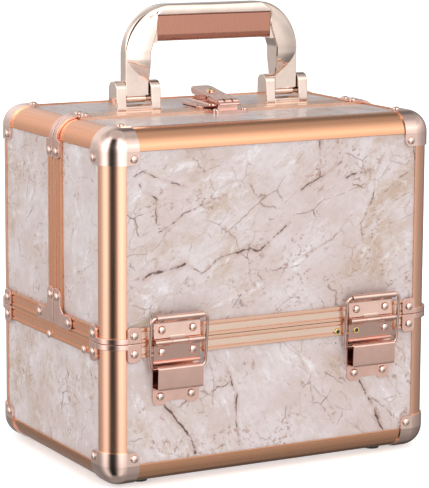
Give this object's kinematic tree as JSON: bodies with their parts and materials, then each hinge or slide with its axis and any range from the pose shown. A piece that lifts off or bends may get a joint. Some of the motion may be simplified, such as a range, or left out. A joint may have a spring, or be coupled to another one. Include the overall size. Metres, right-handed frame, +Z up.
{
  "type": "makeup train case",
  "caption": "Upright framed makeup train case: base tub, two lid halves that fold outwards on wire stays, folding carry handle, keyed draw latch and cantilever trays inside.",
  "frame": {"origin": "bottom centre of the case at the underside of the rubber feet", "axes": "+Z up, +X to the right, +Y to the back; the front face looks along -Y"},
  "size_m": [0.3076, 0.2292, 0.3734],
  "materials": {
    "marble_board": "printed marble pattern, semi-gloss",
    "copper_extrusion": "satin copper anodised",
    "rose_steel": "rose gold plated, polished",
    "rose_rivet": "rose gold plated",
    "rose_wire": "rose gold plated wire, bright",
    "handle_metal": "champagne plated, polished",
    "grip_metal": "brushed rose gold",
    "brass": "polished",
    "foot_rubber": "matt",
    "lining": "short pile lining",
    "tray_plastic": "satin moulded",
    "link_steel": "plated strip"
  },
  "bodies": {
    "base": {"base_panels": "marble_board", "base_bottom_panel": "marble_board", "base_lining": "lining", "base_corner_posts": "copper_extrusion", "base_bottom_rails": "copper_extrusion", "base_rim_rails": "copper_extrusion", "base_corner_caps": "rose_steel", "base_seam_brackets": "rose_steel", "rubber_feet": "foot_rubber", "base_rivets": "rose_rivet", "brass_eyelets": "brass", "hinge_base_leaves": "rose_steel", "hinge_pins": "rose_wire", "stay_pockets": "rose_steel", "tray_pivot_pins": "rose_rivet"},
    "front_lid": {"front_panels": "marble_board", "front_top_panel": "marble_board", "front_lining": "lining", "front_corner_posts": "copper_extrusion", "front_top_rails": "copper_extrusion", "front_seam_rails": "copper_extrusion", "front_corner_caps": "rose_steel", "front_seam_brackets": "rose_steel", "front_angle_brackets": "rose_steel", "front_top_straps": "rose_steel", "front_rivets": "rose_rivet", "front_hinge_leaves": "rose_steel", "latch_catch": "rose_steel", "tray_link_pivots": "link_steel"},
    "rear_lid": {"rear_panels": "marble_board", "rear_top_panel": "marble_board", "rear_lining": "lining", "rear_corner_posts": "copper_extrusion", "rear_top_rails": "copper_extrusion", "rear_seam_rails": "copper_extrusion", "rear_corner_caps": "rose_steel", "rear_seam_brackets": "rose_steel", "rear_angle_brackets": "rose_steel", "rear_top_straps": "rose_steel", "rear_rivets": "rose_rivet", "rear_hinge_leaves": "rose_steel", "latch_base": "rose_steel", "handle_brackets": "handle_metal", "handle_pins": "rose_wire"},
    "front_stay_left": {"front_stay_left": "rose_wire"},
    "front_stay_right": {"front_stay_right": "rose_wire"},
    "rear_stay_left": {"rear_stay_left": "rose_wire"},
    "rear_stay_right": {"rear_stay_right": "rose_wire"},
    "handle": {"handle_frame": "handle_metal", "handle_grip": "grip_metal"},
    "latch_lever": {"latch_lever": "rose_steel"},
    "latch_bail": {"latch_bail": "rose_wire"},
    "lock_cylinder": {"lock_cylinder": "brass"},
    "lower_tray": {"lower_tray": "tray_plastic"},
    "upper_tray": {"upper_tray": "tray_plastic"},
    "tray_bars_front": {"tray_bars_front": "link_steel"},
    "tray_bars_rear": {"tray_bars_rear": "link_steel"},
    "tray_links": {"tray_links": "link_steel"}
  },
  "joints": [
    {"name": "front_lid_hinge", "type": "hinge", "parent": "base", "child": "front_lid", "pos_m": [0, -0.111, 0.118], "axis": [1, 0, 0], "range_deg": [0, 85]},
    {"name": "rear_lid_hinge", "type": "hinge", "parent": "base", "child": "rear_lid", "pos_m": [0, 0.111, 0.118], "axis": [-1, 0, 0], "range_deg": [0, 85]},
    {"name": "front_stay_left_hinge", "type": "hinge", "parent": "front_lid", "child": "front_stay_left", "pos_m": [-0.09, -0.1115, 0.1375], "axis": [1, 0, 0], "range_deg": [-60, 0]},
    {"name": "front_stay_right_hinge", "type": "hinge", "parent": "front_lid", "child": "front_stay_right", "pos_m": [0.09, -0.1115, 0.1375], "axis": [1, 0, 0], "range_deg": [-60, 0]},
    {"name": "rear_stay_left_hinge", "type": "hinge", "parent": "rear_lid", "child": "rear_stay_left", "pos_m": [-0.09, 0.1115, 0.1375], "axis": [-1, 0, 0], "range_deg": [-60, 0]},
    {"name": "rear_stay_right_hinge", "type": "hinge", "parent": "rear_lid", "child": "rear_stay_right", "pos_m": [0.09, 0.1115, 0.1375], "axis": [-1, 0, 0], "range_deg": [-60, 0]},
    {"name": "handle_hinge", "type": "hinge", "parent": "rear_lid", "child": "handle", "pos_m": [0, 0.0065, 0.2965], "axis": [1, 0, 0], "range_deg": [-85, 85]},
    {"name": "latch_lever_hinge", "type": "hinge", "parent": "rear_lid", "child": "latch_lever", "pos_m": [0, -0.0055, 0.292], "axis": [1, 0, 0], "range_deg": [0, 100]},
    {"name": "latch_bail_hinge", "type": "hinge", "parent": "latch_lever", "child": "latch_bail", "pos_m": [0, 0.0155, 0.2925], "axis": [1, 0, 0], "range_deg": [-100, 0]},
    {"name": "lock_turn", "type": "hinge", "parent": "latch_lever", "child": "lock_cylinder", "pos_m": [0, 0.00535, 0.29816], "axis": [0, -0.1564, 0.9877], "range_deg": [0, 90]},
    {"name": "tray_bars_front_pivot", "type": "hinge", "parent": "base", "child": "tray_bars_front", "pos_m": [0, -0.065, 0.108], "axis": [1, 0, 0], "range_deg": [0, 85]},
    {"name": "tray_bars_rear_pivot", "type": "hinge", "parent": "base", "child": "tray_bars_rear", "pos_m": [0, 0, 0.108], "axis": [1, 0, 0], "range_deg": [0, 85]},
    {"name": "lower_tray_pivot", "type": "hinge", "parent": "tray_bars_front", "child": "lower_tray", "pos_m": [0, -0.03632, 0.14896], "axis": [1, 0, 0], "range_deg": [-85, 0]},
    {"name": "upper_tray_pivot", "type": "hinge", "parent": "tray_bars_front", "child": "upper_tray", "pos_m": [0, 0.00957, 0.21449], "axis": [1, 0, 0], "range_deg": [-85, 0]},
    {"name": "tray_link_pivot", "type": "hinge", "parent": "front_lid", "child": "tray_links", "pos_m": [0, -0.07085, 0.17534], "axis": [1, 0, 0], "range_deg": [-85, 0]}
  ],
  "couplings": [
    {"joint": "front_stay_left_hinge", "follows": "front_lid_hinge", "ratio": -0.69},
    {"joint": "front_stay_right_hinge", "follows": "front_lid_hinge", "ratio": -0.69},
    {"joint": "rear_stay_left_hinge", "follows": "rear_lid_hinge", "ratio": -0.69},
    {"joint": "rear_stay_right_hinge", "follows": "rear_lid_hinge", "ratio": -0.69},
    {"joint": "latch_bail_hinge", "follows": "latch_lever_hinge", "ratio": -1},
    {"joint": "tray_bars_front_pivot", "follows": "front_lid_hinge", "ratio": 1},
    {"joint": "tray_bars_rear_pivot", "follows": "front_lid_hinge", "ratio": 1},
    {"joint": "lower_tray_pivot", "follows": "front_lid_hinge", "ratio": -1},
    {"joint": "upper_tray_pivot", "follows": "front_lid_hinge", "ratio": -1},
    {"joint": "tray_link_pivot", "follows": "front_lid_hinge", "ratio": -1}
  ]
}
